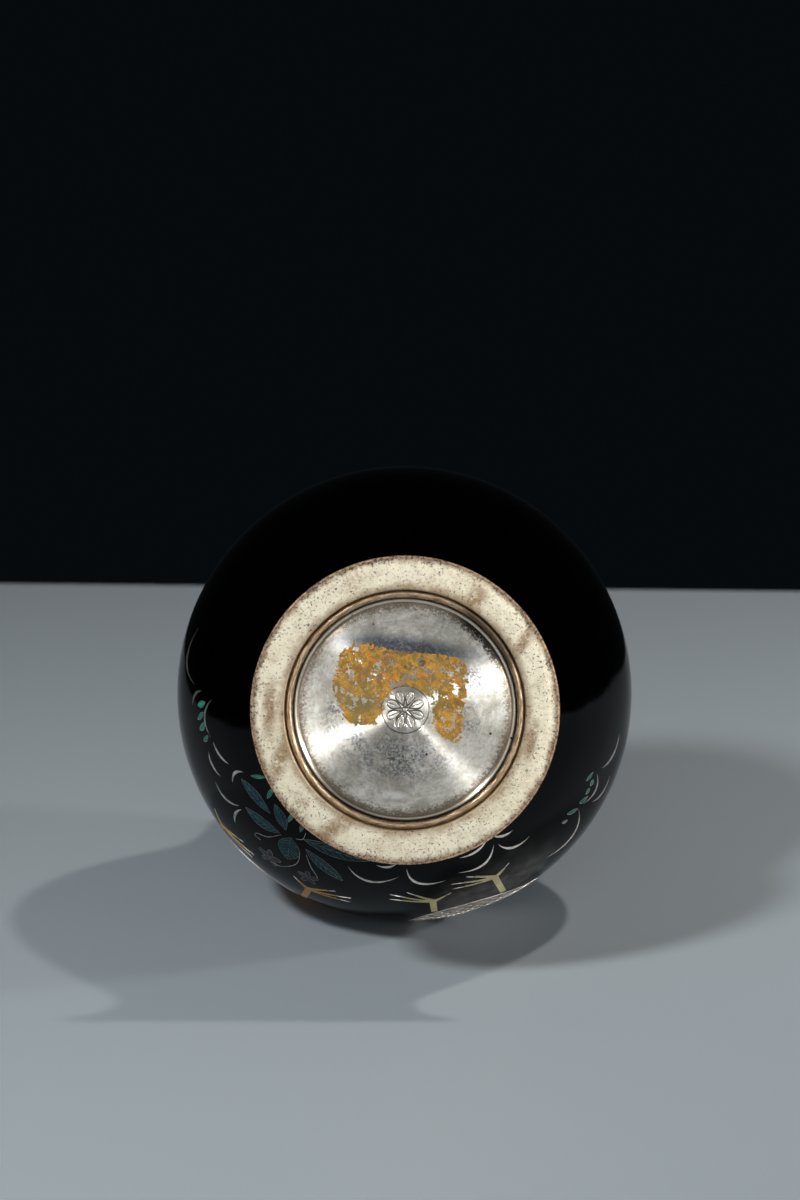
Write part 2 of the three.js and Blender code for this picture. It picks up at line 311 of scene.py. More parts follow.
class Finish(NodeTree):
    """A procedural material around one Principled shader. Positions are object coordinates, in metres."""

    def __init__(self, name, **sockets):
        self.material = bpy.data.materials.new(name)
        self.material.use_nodes = True
        super().__init__(self.material.node_tree)
        self.shader = self.tree.nodes["Principled BSDF"]
        for socket, value in sockets.items():
            self.shader.inputs[socket.replace("_", " ")].default_value = value
        self.position = self.node("ShaderNodeTexCoord").outputs["Object"]

    def noise(self, scale, detail=3.0, roughness=0.55, distortion=0.0, at=None):
        made = self.node("ShaderNodeTexNoise", Vector=at or self.position, Scale=scale, Detail=detail,
                         Roughness=roughness, Distortion=distortion)
        return made.outputs["Fac"]

    def math(self, operation, a, b=0.0):
        made = self.node("ShaderNodeMath", {"operation": operation})
        self.feed(made.inputs[0], a)
        self.feed(made.inputs[1], b)
        return made.outputs[0]

    def times(self, a, b):
        return self.math("MULTIPLY", a, b)

    def band(self, value, low, high, out_low=0.0, out_high=1.0):
        """Maps low..high smoothly to out_low..out_high; `low` may be above `high`."""
        if low > high:
            low, high, out_low, out_high = high, low, out_high, out_low
        made = self.node("ShaderNodeMapRange", {"interpolation_type": "SMOOTHSTEP"}, Value=value,
                         From_Min=low, From_Max=high, To_Min=out_low, To_Max=out_high)
        return made.outputs["Result"]

    def mix(self, factor, a, b):
        made = self.node("ShaderNodeMix", {"data_type": "RGBA"}, Factor=factor)
        self.feed(made.inputs[6], a if isinstance(a, bpy.types.NodeSocket) else (*a, 1))
        self.feed(made.inputs[7], b if isinstance(b, bpy.types.NodeSocket) else (*b, 1))
        return made.outputs[2]

    def layered(self, base, *layers):
        """Lays colours over `base`, one after another: each is (mask, strength, colour)."""
        for mask, strength, colour in layers:
            base = self.mix(self.times(mask, strength) if strength < 1 else mask, base, colour)
        return base

    def axes(self):
        split = self.node("ShaderNodeSeparateXYZ", Vector=self.position)
        return split.outputs[0], split.outputs[1], split.outputs[2]

    def radius(self):
        """Distance from the vase's axis, in metres."""
        x, y, _ = self.axes()
        return self.math("SQRT", self.math("ADD", self.times(x, x), self.times(y, y)))

    def polar(self, round_scale, radial_scale):
        """Coordinates that run round the axis and outwards, for marks left by turning and by wiping."""
        x, y, _ = self.axes()
        radius = self.radius()
        along = self.times(radius, radial_scale)
        cosine = self.math("DIVIDE", x, radius)
        sine = self.math("DIVIDE", y, radius)
        return self.node("ShaderNodeCombineXYZ", X=self.times(cosine, round_scale),
                         Y=self.times(sine, round_scale), Z=along).outputs[0]

    def patch(self, x, y, half_width, half_height, turn=0.0, edge=0.6):
        """1 inside an ellipse about (x, y) mm, falling to 0 outside; `turn` in degrees."""
        moved = self.node("ShaderNodeMapping", {"vector_type": "TEXTURE"}, Vector=self.position)
        moved.inputs["Location"].default_value = (x * MM, y * MM, DISC_Z * MM)
        moved.inputs["Rotation"].default_value = (0, 0, math.radians(turn))
        moved.inputs["Scale"].default_value = (half_width * MM, half_height * MM, 0.02)
        length = self.node("ShaderNodeVectorMath", {"operation": "LENGTH"})
        self.feed(length.inputs[0], moved.outputs[0])
        return self.band(length.outputs["Value"], 1 + edge, 1 - edge)

    def patches(self, spots):
        return self.any_of([self.patch(*spot) for spot in spots])

    def beyond(self, radius, start, end, out_low=0.0, out_high=1.0):
        """Rises from `start` to `end` mm from the axis, or falls outwards where `end` is the nearer."""
        return self.band(radius, start * MM, end * MM, out_low, out_high)

    def wandering(self, value, noise, reach):
        """A length in metres that strays by up to half of `reach` mm either way."""
        return self.math("ADD", value, self.times(self.math("SUBTRACT", noise, 0.5), reach * MM))

    def specks(self, scale, edge, core, picked):
        """Round dots in the share of Voronoi cells whose value passes `picked`."""
        cells = self.node("ShaderNodeTexVoronoi", Vector=self.position, Scale=scale)
        value = self.node("ShaderNodeSeparateColor", Color=cells.outputs["Color"]).outputs[0]
        return self.times(self.band(cells.outputs["Distance"], edge, core), self.band(value, *picked))

    def any_of(self, masks):
        total = masks[0]
        for mask in masks[1:]:
            total = self.math("MAXIMUM", total, mask)
        return total

    def bump(self, height, distance, strength=1.0, under=None):
        made = self.node("ShaderNodeBump", Height=height, Distance=distance, Strength=strength)
        if under:
            self.feed(made.inputs["Normal"], under)
        return made.outputs[0]

    def set(self, **links):
        """Feeds the shader and gives back the material."""
        for key, value in links.items():
            self.feed(self.shader.inputs[key.replace("_", " ")], value)
        return self.material

    def tint(self, base, deep, scale, low=0.35, high=0.65):
        """Enamel colour that drifts between two tones."""
        return self.mix(self.band(self.noise(scale), low, high), base, deep)


def black_enamel():
    made = Finish("black_enamel_gloss", IOR=1.45, Specular_IOR_Level=0.12)
    wave = made.noise(90, 2)
    haze = made.noise(260, 3)
    return made.set(
        Base_Color=made.mix(made.band(haze, 0.4, 0.7), (0.0004, 0.0004, 0.0006), (0.0009, 0.0010, 0.0013)),
        Roughness=made.band(haze, 0.35, 0.75, 0.09, 0.14),
        Normal=made.bump(wave, 0.00008, 0.35),
    )


def lining_enamel():
    made = Finish("counter_enamel_speckled", IOR=1.5)
    speckle = made.noise(900, 4, 0.7)
    return made.set(
        Base_Color=made.mix(made.band(speckle, 0.45, 0.6), (0.03, 0.09, 0.11), (0.10, 0.20, 0.22)),
        Roughness=made.band(made.noise(150), 0.3, 0.7, 0.18, 0.35),
        Normal=made.bump(made.noise(220, 3), 0.0003, 0.4),
    )


def spun_copper():
    made = Finish("spun_copper_dull", Metallic=1.0)
    marks = made.noise(3, 3, at=made.polar(0.3, 1500))
    return made.set(
        Base_Color=made.mix(marks, (0.45, 0.21, 0.12), (0.62, 0.34, 0.21)),
        Roughness=made.band(marks, 0.3, 0.7, 0.35, 0.6),
        Normal=made.bump(marks, 0.0001, 0.5),
    )


def worn_plate():
    """Silver plate worn cream, stained brown towards its edges and finely pitted."""
    made = Finish("silver_plate_worn", Metallic=0.72)
    radius = made.radius()
    ragged_r = made.wandering(radius, made.noise(240, 6, 0.75), 4.8)
    outer = made.beyond(ragged_r, FOOT_R - 2.6, FOOT_R - 0.4)
    inner = made.beyond(ragged_r, COLLAR_R + 2.8, COLLAR_R, 0.0, 0.8)
    smudges = made.patches([
        (38.5, 0.5, 1.9, 7, 4), (35.5, -14, 2.2, 6.5, 22), (-20, 31.5, 2.6, 4.6, 30),
        (-36, -8.5, 1.5, 6, 12), (20, -33.5, 8, 2.2, -30), (-34, 20, 1.6, 5, 32),
    ])
    smudge = made.times(smudges, made.band(made.noise(420, 5, 0.7), 0.32, 0.52))
    clouds = made.band(made.noise(110, 5, 0.65), 0.42, 0.68)
    grain = made.band(made.noise(2600, 3, 0.8), 0.35, 0.7)
    drift = made.band(made.noise(85, 6, 0.72, 0.9), 0.50, 0.66)
    speckle = made.band(made.noise(900, 5, 0.8), 0.40, 0.62)
    crowding = made.math("ADD", made.times(made.noise(130, 3), 0.16), made.times(outer, 0.07))
    pits = made.band(made.math("ADD", made.noise(1250, 4, 0.75), crowding), 0.658, 0.695)
    dark = made.math("MAXIMUM", made.times(pits, 0.85), made.specks(520.0, 0.16, 0.08, (0.80, 0.84)))
    base = made.layered(
        made.mix(clouds, (0.86, 0.78, 0.58), (0.56, 0.46, 0.29)),
        (grain, 0.7, (1.0, 0.95, 0.80)),
        (made.times(drift, speckle), 0.6, (0.37, 0.25, 0.14)),
        (smudge, 0.9, (0.34, 0.22, 0.12)),
        (inner, 1, (0.33, 0.22, 0.12)),
        (outer, 0.85, (0.22, 0.125, 0.065)),
        (made.beyond(radius, FOOT_R - 0.6, FOOT_R - 0.3), 1, (0.66, 0.42, 0.25)),
        (dark, 1, (0.055, 0.04, 0.028)),
    )
    return made.set(
        Base_Color=base,
        Roughness=made.band(made.math("ADD", clouds, outer), 0.0, 1.4, 0.40, 0.58),
        Normal=made.bump(made.math("SUBTRACT", grain, made.times(dark, 3.0)), 0.00004, 0.6),
    )


def rim_plate():
    """Plain bright silver plate with light wear, for the mouth."""
    made = Finish("silver_plate_bright", Metallic=1.0)
    stain = made.band(made.noise(180, 4, 0.6), 0.5, 0.8)
    return made.set(
        Base_Color=made.mix(stain, (0.80, 0.78, 0.72), (0.48, 0.38, 0.25)),
        Roughness=made.band(made.noise(600, 3), 0.3, 0.7, 0.18, 0.34),
        Normal=made.bump(made.noise(1200, 3), 0.00002, 0.5),
    )


def turned_silver():
    """Silver turned on a lathe, with slate-blue tarnish, white wiped areas and specks, plus a painted shadow
    at the upper right of its edge and a painted highlight on its outer ridge.
    """
    made = Finish("turned_silver_disc", Metallic=1.0, Anisotropic=0.97, Anisotropic_Rotation=0.25)
    radius = made.radius()
    rings = made.noise(2.2, 4, 0.7, at=made.polar(0.5, 3600))
    wiped = made.noise(3.0, 4, 0.65, at=made.polar(2.2, 420))
    mottled = made.noise(1500, 4, 0.75)
    slate_spots = made.patches([
        (20, -1.2, 3.4, 6.2, 20), (0.5, -13.8, 13, 6.5, 0), (-18.4, -2.4, 3.0, 4.2, 10),
        (15, -9.8, 4.6, 3.2, -35), (-20, 9, 4, 4.5, 40),
    ])
    wisps = made.times(made.band(made.noise(1100, 5, 0.8), 0.42, 0.58),
                       made.band(made.noise(210, 5, 0.7), 0.36, 0.56))
    slate = made.times(slate_spots, wisps)
    above_label = made.patch(0.5, 17.6, 21, 3.0, 7)
    above_label = made.times(above_label, made.band(mottled, 0.62, 0.50, 0.5))
    slate = made.math("MAXIMUM", slate, above_label)
    dull = made.band(made.noise(150, 5, 0.7, 0.5), 0.42, 0.62)
    blotch = made.patches([(11.5, -23.8, 4.2, 1.7, -14), (4, -24.6, 5, 1.2, 4)])
    blotch = made.times(blotch, made.band(made.noise(380, 4), 0.35, 0.55))
    clotted = made.band(made.noise(620, 6, 0.8), 0.52, 0.62)
    ragged_radius = made.wandering(radius, mottled, 9)
    crust = made.times(made.beyond(ragged_radius, RIDGE_R - 3.05, RIDGE_R - 1.35),
                       made.beyond(radius, RIDGE_R - 0.15, RIDGE_R - 0.55))
    # Painted shadow, partly dark tarnish: a dark crescent at the upper right of the disc's edge, where the
    # bead shades it.
    painted_shadow_side = made.patch(-24, 21, 13, 5, 49, 0.4)
    shadow_and_tarnish = made.times(painted_shadow_side, made.beyond(ragged_radius, RIDGE_R - 3.85, RIDGE_R - 1.35))
    _, _, depth = made.axes()
    struck = made.times(made.band(depth, (DISC_Z + 0.02) * MM, (DISC_Z + 0.11) * MM),
                        made.beyond(radius, STAMP_R + 1.7, STAMP_R + 1.2))
    base = made.layered(
        made.mix(made.band(wiped, 0.35, 0.7), (0.72, 0.70, 0.63), (0.92, 0.90, 0.85)),
        (dull, 0.75, (0.50, 0.47, 0.39)),
        (clotted, 0.45, (0.30, 0.30, 0.29)),
        (slate, 0.9, (0.09, 0.12, 0.165)),
        (blotch, 1, (0.95, 0.94, 0.90)),
        (crust, 0.8, (0.20, 0.14, 0.085)),
        # painted shadow at the upper right of the disc's edge, with some dark tarnish
        (shadow_and_tarnish, 1, (0.03, 0.025, 0.02)),
        # painted highlight: a cream line along the outer turned ridge
        (made.beyond(radius, RIDGE_R - 0.55, RIDGE_R - 0.25), 1, (0.80, 0.74, 0.60)),
        (made.beyond(radius, RIDGE_R + 0.25, RIDGE_R + 0.55), 1, (0.05, 0.035, 0.025)),
        (made.band(mottled, 0.59, 0.68, 0.0, 0.6), 1, (0.15, 0.14, 0.13)),
        (struck, 0.85, (0.10, 0.085, 0.07)),
        (made.specks(330.0, 0.15, 0.09, (0.86, 0.88)), 1, (0.03, 0.025, 0.02)),
    )
    return made.set(
        Base_Color=base,
        Roughness=made.band(made.math("ADD", slate, dull), 0.0, 1.2, 0.31, 0.38),
        Tangent=made.node("ShaderNodeTangent", {"direction_type": "RADIAL", "axis": "Z"}).outputs[0],
        Normal=made.bump(made.math("ADD", rings, made.times(mottled, 0.4)), 0.000012, 0.5),
    )


def worn_brass():
    """Solder bead rubbed brassy on its crest and dark in the groove on its inner side, with a painted shadow
    across its upper right.
    """
    made = Finish("bead_rubbed_brass", Metallic=0.85)
    radius = made.radius()
    streaks = made.noise(3.5, 5, 0.7, at=made.polar(2.6, 900))
    off_crest = made.wandering(made.math("SUBTRACT", BEAD_R * MM, radius), streaks, 0.9)
    groove = made.band(off_crest, 0.70 * MM, 1.05 * MM)
    base = made.layered(
        made.mix(made.band(streaks, 0.40, 0.60), (0.60, 0.46, 0.30), (0.20, 0.12, 0.065)),
        # painted shadow across the bead's upper right
        (made.patch(-25, 22, 13, 4.5, 49, 0.4), 0.85, (0.06, 0.04, 0.025)),
        (groove, 1, (0.05, 0.035, 0.025)),
    )
    return made.set(
        Base_Color=base,
        Roughness=made.band(streaks, 0.3, 0.7, 0.32, 0.55),
        Normal=made.bump(made.noise(1400, 4), 0.00004, 0.5),
    )


def crumbling_paper():
    """Glue and paper gone orange, ochre and olive."""
    made = Finish("label_paper_crumbling", Roughness=0.95)
    coarse = made.noise(330, 5, 0.7)
    fine = made.noise(1900, 4, 0.75)
    olive_side = made.patches([(13.5, 1.5, 6.5, 5.5), (-6, 2, 5, 5)])
    reddened = made.band(made.noise(700, 5, 0.75, 0.4), 0.51, 0.58)
    brown = made.band(made.noise(300, 6, 0.8, 0.6), 0.47, 0.56)
    olive = made.times(olive_side, made.band(coarse, 0.30, 0.55))
    grey = made.band(made.noise(420, 6, 0.8), 0.51, 0.60)
    hole = made.patch(-4.8, 13.4, 1.1, 0.9, 0, 0.3)
    dark = made.any_of([made.band(made.noise(2600, 3, 0.7), 0.60, 0.68), hole])
    base = made.layered(
        made.mix(made.band(coarse, 0.42, 0.56), (0.92, 0.42, 0.025), (0.56, 0.33, 0.04)),
        (reddened, 1, (0.95, 0.27, 0.02)),
        (made.band(fine, 0.54, 0.61), 1, (0.92, 0.62, 0.14)),
        (brown, 0.65, (0.24, 0.12, 0.03)),
        (olive, 0.85, (0.34, 0.25, 0.07)),
        (grey, 0.55, (0.30, 0.21, 0.15)),
        (dark, 0.8, (0.06, 0.045, 0.03)),
    )
    return made.set(
        Base_Color=base,
        Normal=made.bump(fine, 0.0003, 0.8),
    )


def silver_wire():
    made = Finish("silver_wire_polished", Metallic=1.0)
    wear = made.noise(500, 3)
    return made.set(
        Base_Color=made.mix(made.band(wear, 0.4, 0.7), (0.78, 0.74, 0.69), (0.46, 0.40, 0.34)),
        Roughness=made.band(wear, 0.3, 0.7, 0.28, 0.45),
    )


def glossy_enamel(name, base, deep, scale=260):
    made = Finish(name, IOR=1.5, Specular_IOR_Level=0.18)
    return made.set(
        Base_Color=made.tint(base, deep, scale),
        Roughness=made.band(made.noise(320), 0.3, 0.7, 0.07, 0.15),
        Normal=made.bump(made.noise(90, 2), 0.00008, 0.35),
    )


def dull_wire():
    """Fine wire inside leaves and flowers, gone dark."""
    made = Finish("silver_wire_dull", Metallic=1.0, Roughness=0.5)
    return made.set(Base_Color=made.tint((0.30, 0.34, 0.31), (0.14, 0.19, 0.19), 500))


SILVER_WIRE = silver_wire()
DULL_WIRE = dull_wire()
ENAMELS = {
    "teal_enamel": glossy_enamel("enamel_teal", (0.004, 0.060, 0.072), (0.002, 0.026, 0.038)),
    "green_enamel": glossy_enamel("enamel_green", (0.035, 0.30, 0.20), (0.015, 0.16, 0.11)),
    "violet_enamel": glossy_enamel("enamel_violet", (0.090, 0.055, 0.085), (0.035, 0.020, 0.045)),
    "ochre_enamel": glossy_enamel("enamel_ochre", (0.96, 0.60, 0.15), (0.85, 0.44, 0.08), 420),
    "cream_enamel": glossy_enamel("enamel_cream", (0.96, 0.92, 0.48), (0.90, 0.78, 0.36), 420),
    "grey_enamel": glossy_enamel("enamel_grey", (0.42, 0.40, 0.37), (0.22, 0.21, 0.21), 300),
    "russet_enamel": glossy_enamel("enamel_russet", (0.30, 0.062, 0.028), (0.15, 0.03, 0.018), 300),
}

# ---- Body shells ----
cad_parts["copper_body"].data.materials.clear()
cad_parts["copper_body"].data.materials.append(spun_copper())

coat_profile = offset_outline(0, 150) + offset_outline(-ENAMEL, 150)[::-1]
coat = add_object("enamel_coat_fine", turned(coat_profile), black_enamel(),
                  ["black_enamel_coat"])

LINING_BASE = 7.3
lining_outside = offset_outline(LINING - WALL, 90)
lining_inside = offset_outline(-WALL, 90)[::-1]
lining_profile = [(0, LINING_BASE), (lining_outside[0][0], LINING_BASE), *lining_outside, *lining_inside,
                  (lining_inside[-1][0], LINING_BASE + LINING), (0, LINING_BASE + LINING)]
add_object("lining_fine", turned(lining_profile), lining_enamel(),
           ["counter_enamel_lining"])


def rim_profile():
    """A rolled silver rim that caps the wall at the mouth."""
    inner = NECK_R - WALL - 0.4
    outer = NECK_R + 0.7
    base = BODY_TOP + 0.3
    roll = 1.1
    return [
        (inner, base + 0.2), (NECK_R - WALL + 0.2, base), (NECK_R, base),
        *arc(outer - 0.35, base + 0.9, 0.5, -70, 40, 5),
        *arc(outer - roll, HEIGHT - roll, roll, 20, 90, 6),
        *arc(inner + roll, HEIGHT - roll, roll, 90, 180, 7),
    ]


add_object("mouth_rim_fine", turned(rim_profile()), rim_plate(), ["mouth_rim"])


# ---- Foot and recess ----
def smooth_noise(theta, seed, waves=7):
    """A repeatable wandering value between about -1 and 1 round the axis."""
    pick = random.Random(seed)
    total = 0.0
    for k in range(1, waves + 1):
        total += math.sin(k * 2 * theta + pick.uniform(0, 2 * math.pi)) * pick.uniform(0.4, 1) / k
    return total / 1.6


def foot_profile():
    lip = 0.55
    flare = bezier((FOOT_R, 1.4), (WAIST_R + 1.6, 2.6), (WAIST_R, 9.9), 18)
    outside = [*arc(FOOT_R - ROLLED_EDGE, ROLLED_EDGE, ROLLED_EDGE, -90, 0, 6), (FOOT_R, 1.4), *flare]
    inside = [(r - SHEET, z) for r, z in flare[:-1]][::-1]
    wall = COLLAR_R - 0.22
    return [
        (wall, DISC_Z), *arc(wall + lip, lip, lip, 180, 270, 6), (COLLAR_R + 2.2, 0), (40, 0),
        (FOOT_R - 1.5, 0.02), (FOOT_R - 1.05, 0.10), (FOOT_R - 0.85, 0.05), *outside, *inside,
        (FOOT_R - 1.8, SHEET), (COLLAR_R + SHEET + 0.2, SHEET), (COLLAR_R + SHEET, SHEET + 0.2),
        (COLLAR_R + SHEET, DISC_Z),
    ]


def foot_relief(r, z, theta):
    dent = 0.02 * smooth_noise(theta, 3)
    return (dent if z > 0.3 else 0.0), 0.0


add_object("foot_ring_fine", turned(foot_profile(), foot_relief), worn_plate(),
           ["foot_ring"], smooth_angle=50)


def bead_relief(r, z, theta):
    swell = 0.06 * smooth_noise(theta, 11, 9)
    return swell * 0.5, swell if z < 2 else 0.0


bead_profile = arc(BEAD_R, BEAD_Z, BEAD_SECTION - 0.06, 0, 342, 19)
add_object("recess_bead_fine", turned(bead_profile, bead_relief), worn_brass(),
           ["recess_bead"], smooth_angle=60)


def stamp_depth(x, y):
    """Depth of the struck rosette, from 0 to 1: a ring, pointed petals and a small ring in the centre."""
    r = math.hypot(x, y)
    if r > STAMP_R + 0.6:
        return 0.0
    petal_gap = 1.1
    depth = max(0.0, 1 - abs(r - STAMP_R) / STAMP_LINE) * 0.6
    sector = 2 * math.pi / STAMP_PETALS
    turn = math.atan2(y, x) % sector - sector / 2
    share = (r - petal_gap) / (STAMP_R - 2 * petal_gap)
    if 0 < share < 1:
        half_width = 0.42 * sector * math.sin(math.pi * share) ** 0.7
        edge = abs(abs(turn) - half_width) * r
        depth = max(depth, 1 - edge / STAMP_LINE, (1 - abs(turn) * r / (STAMP_LINE * 0.7)) * 0.5)
    return max(depth, 1 - abs(r - 0.8) / STAMP_LINE)


def ridge_height(r, centre, height, half_width):
    return height * math.exp(-((r - centre) / half_width) ** 2)


def disc_relief(r, z, theta):
    """Turned ridges near the edge, faint rings all over and the rosette; the hidden back stays flat."""
    if z > DISC_Z + 0.01 or r < 0.05:
        return 0.0, 0.0
    rings = 0.006 * math.sin(r * 5.1) + 0.004 * math.sin(r * 11.7 + 1)
    turned_edge = ridge_height(r, RIDGE_R, 0.32, 0.42) + ridge_height(r, GROOVE_R, -0.14, 0.30)
    stamp = STAMP_LINE * stamp_depth(r * math.cos(theta), r * math.sin(theta))
    return 0.0, rings - turned_edge + stamp


def disc_profile():
    """Finely stepped where the rosette and the ridges are."""
    edge_r = BEAD_R + BEAD_SECTION
    front = [0, *np.arange(0.25, 8, 0.11), *np.arange(8, 29, 0.7), *np.arange(29, 32.5, 0.14), edge_r]
    back_z = DISC_Z + DISC_THICKNESS
    return [*((float(r), DISC_Z) for r in front), (edge_r, back_z), (0, back_z)]


add_object("base_disc_fine", turned(disc_profile(), disc_relief, 360), turned_silver(),
           ["base_disc"], smooth_angle=75)


# ---- Label remains ----
PAPER_LOW = DISC_Z - 0.26
PAPER_HIGH = DISC_Z - 0.02
# Rough outline of what is left of the label, in mm.
LABEL_EDGE = [
    (18, 17), (12.5, 19), (0.5, 16.5), (-10, 16), (-17.5, 12.5), (-17, 1), (-15, -9), (-8.5, -5.5),
    (-7.5, 3), (0.5, 7), (5, 3.5), (9, -3.5), (16, -3.5), (20, 5), (19.5, 12),
]


def inside(x, y, edge):
    """True if a point lies inside a closed outline."""
    found = False
    for (x1, y1), (x2, y2) in zip(edge, edge[1:] + edge[:1]):
        if (y1 > y) != (y2 > y) and x < (x2 - x1) * (y - y1) / (y2 - y1) + x1:
            found = not found
    return found


def label_crumbs():
    """Paper left in crumbs: cells of a fine grid inside the ragged outline, less those that have flaked."""
    cell = 0.34
    edge = [tuple(p) for p in catmull_rom(LABEL_EDGE + LABEL_EDGE[:1], 220)]
    columns, rows = range(-62, 63), range(-34, 62)
    kept = set()
    for i in columns:
        for j in rows:
            x, y = (i + 0.5) * cell, (j + 0.5) * cell
            ragged = 1.7 * noise.noise((x * 0.9, y * 0.9, 3.1)) + 0.7 * noise.noise((x * 2.6, y * 2.6, 8.3))
            flake = noise.noise((x * 0.5, y * 0.5, 7.7)) + 0.8 * noise.noise((x * 2.0, y * 2.0, 1.3))
            if inside(x + ragged, y + ragged * 0.7, edge) and flake < 0.33:
                kept.add((i, j))
    low, high, faces = {}, {}, []
    vertices = []

    def corner(table, i, j, height):
        if (i, j) not in table:
            sway = Vector((noise.noise((i * 0.9, j * 0.9, 5)), noise.noise((i * 0.9, j * 0.9, 9)))) * 0.16
            lift = 0.10 * noise.noise((i * 0.45, j * 0.45, 2)) if table is low else 0.0
            table[i, j] = len(vertices)
            vertices.append(((i * cell + sway.x) * MM, (j * cell + sway.y) * MM, (height + lift) * MM))
        return table[i, j]

    for i, j in sorted(kept):
        square = [(i, j), (i + 1, j), (i + 1, j + 1), (i, j + 1)]
        faces.append([corner(low, *p, PAPER_LOW) for p in square[::-1]])
        faces.append([corner(high, *p, PAPER_HIGH) for p in square])
        for k, (di, dj) in enumerate(((0, -1), (1, 0), (0, 1), (-1, 0))):
            if (i + di, j + dj) not in kept:
                a, b = square[k], square[(k + 1) % 4]
                faces.append([corner(low, *a, PAPER_LOW), corner(low, *b, PAPER_LOW),
                              corner(high, *b, PAPER_HIGH), corner(high, *a, PAPER_HIGH)])
    return mesh_from(vertices, faces)


add_object("label_crumbs", label_crumbs(), crumbling_paper(), ["label_remnant"], 60)


# ---- Decoration: shapes in mm, x round and y up ----
def blade(tip, width, rise, steps=14):
    """A blade from (0, 0) to `tip` with bulging edges: its right edge, its left edge and its middle line."""
    tip = Vector(tip)
    side = Vector((-tip.y, tip.x)).normalized()
    middle = tip * 0.5 + side * 2 * rise
    right = [(0.0, 0.0), *bezier((0, 0), middle - side * width, tip, steps)]
    left = [(0.0, 0.0), *bezier((0, 0), middle + side * width, tip, steps)]
    centre = [(0.0, 0.0), *bezier((0, 0), middle, tip, steps)]
    return right, left, centre


def blade_outline(tip, width, rise, steps=14):
    right, left, _ = blade(tip, width, rise, steps)
    return right + left[-2:0:-1]


def field(name, outline, anchor, slot, stands_for=()):
    """An enamel field let into the coat."""
    add_object(name, plate(outline, anchor), ENAMELS[slot], stands_for, smooth_angle=50)


def circle(radius, count, x=0.0, y=0.0):
    angles = np.linspace(0, 2 * math.pi, count, endpoint=False)
    return [(x + radius * math.cos(a), y + radius * math.sin(a)) for a in angles]


# Widths of the wires.
ARC_WIDTH = 0.95
FINE_WIRE = 0.10
FIELD_WIRE = 0.14
MOSS_WIRE = 0.16
OUTLINE_WIRE = 0.22
CLAW_WIRE = 0.5

# Ground line: where each arc starts and ends, and how far it arches towards the mouth.
GROUND_ARCS = [
    ((18.5, 52), (4, 46.5), 6.5), ((2.5, 43), (-1.8, 48.4), 1.4), ((0.5, 38), (-11, 40.4), 3.2),
    ((-12.2, 39.6), (-19.5, 35.5), 1), ((-14.8, 43), (-22.5, 41.2), 1.2), ((-23.4, 31.4), (-25.4, 37.2), 1.6),
    ((-23.5, 45), (-32.2, 39.8), 2.4), ((-33.8, 39.8), (-36.4, 47.2), 1.2), ((-70.8, 30.6), (-88.2, 31), 4.6),
    ((-80, 27.6), (-87, 26.4), 1.2), ((-90.6, 28), (-103.5, 34.4), 4.2), ((-109.5, 27.5), (-121, 25.8), 1.5),
    ((-107.5, 32.6), (-121.6, 28.4), 4), ((-123.6, 25.6), (-130.6, 28.4), 1.2),
    ((-123.4, 29.2), (-133.2, 34.4), 2.8), ((-131.4, 49.4), (-147.4, 44.4), 6.4),
    ((-149.6, 45.4), (-158.8, 44.8), 3.6), ((-151, 49.8), (-159, 54.4), 2.4),
    ((-160.6, 46.4), (-170.6, 52.4), 2.2),
]
for number, (start, end, rise) in enumerate(GROUND_ARCS, 1):
    name = f"ground_wire_{number:02d}"
    outline = blade_outline(between(start, end), ARC_WIDTH, -rise, 18)
    mesh = plate(outline, start, WIRE_PROUD)
    add_object(f"{name}_fine", mesh, SILVER_WIRE, [name], smooth_angle=50)

# Moss dots: where each starts and ends, and its width.
MOSS = {
    "green_enamel": [
        ((-0.6, 41.2), (-1.6, 45.2), 2.0), ((-3.4, 42.4), (-5.6, 45.6), 1.6),
        ((-6.4, 41.9), (-8.6, 45.2), 1.9), ((-10.2, 41.4), (-11.7, 44.2), 1.5),
        ((-159, 42.4), (-156, 40.8), 1.2),
        ((-156.9, 43.8), (-154.9, 44.2), 1.7), ((-154.4, 44.2), (-152.3, 43.8), 1.7),
        ((-152, 45.6), (-149.3, 43.2), 1.7), ((-147.8, 44), (-144.9, 40.8), 1.4),
    ],
    "grey_enamel": [((-143.5, 42.9), (-142, 41.5), 1.2)],
}
moss_dots = [(slot, *dot) for slot, dots in MOSS.items() for dot in dots]
for number, (slot, start, end, width) in enumerate(moss_dots, 1):
    outline = blade_outline(between(start, end), width, 0.2, 8)
    field(f"moss_{number:02d}", outline, start, slot)
    wires(f"moss_{number:02d}_wire", start, [(resampled(outline, 0.35, True), MOSS_WIRE, 0)])

# Leaves: where each starts and ends, its width and how far its middle bows aside.
LEAVES = {
    "leaf": [
        ((-39.6, 30.9), (-24.8, 33.2), 3.8, -0.6), ((-46.4, 33.4), (-33.4, 37.6), 4.2, 0.5),
        ((-47, 31), (-38, 27.6), 4.0, -0.4), ((-50, 31.9), (-53.8, 40.4), 7.4, 0),
        ((-53.4, 29.4), (-77, 26.6), 5.4, 0.8), ((-56, 32), (-71.6, 37.2), 4.2, 0.3),
    ],
    "small_leaf": [
        ((-27.8, 25.4), (-25.2, 29.6), 1.2, 0), ((-32.6, 25), (-34.8, 28.6), 1.4, 0),
        ((-44.4, 25), (-45.6, 28.4), 1.2, 0), ((-49.6, 25), (-51, 28.2), 1.2, 0),
    ],
}


def leaf_veins(tip, width, rise):
    """The midrib, and side veins that run forwards to both edges."""
    right, left, centre = blade(tip, width, rise, 24)
    runs = [(resampled(centre, 0.6), FINE_WIRE, 0.5)]
    for edge in (right, left):
        for i in range(3, 19, 3):
            start, end = Vector(centre[i]), Vector(edge[i + 4])
            bend = (start + end) / 2 + (Vector(centre[i + 2]) - start) * 0.5
            vein = [tuple(start), *bezier(tuple(start), tuple(bend), tuple(end), 5)]
            runs.append((vein, FINE_WIRE * 0.8, 0.4))
    return runs


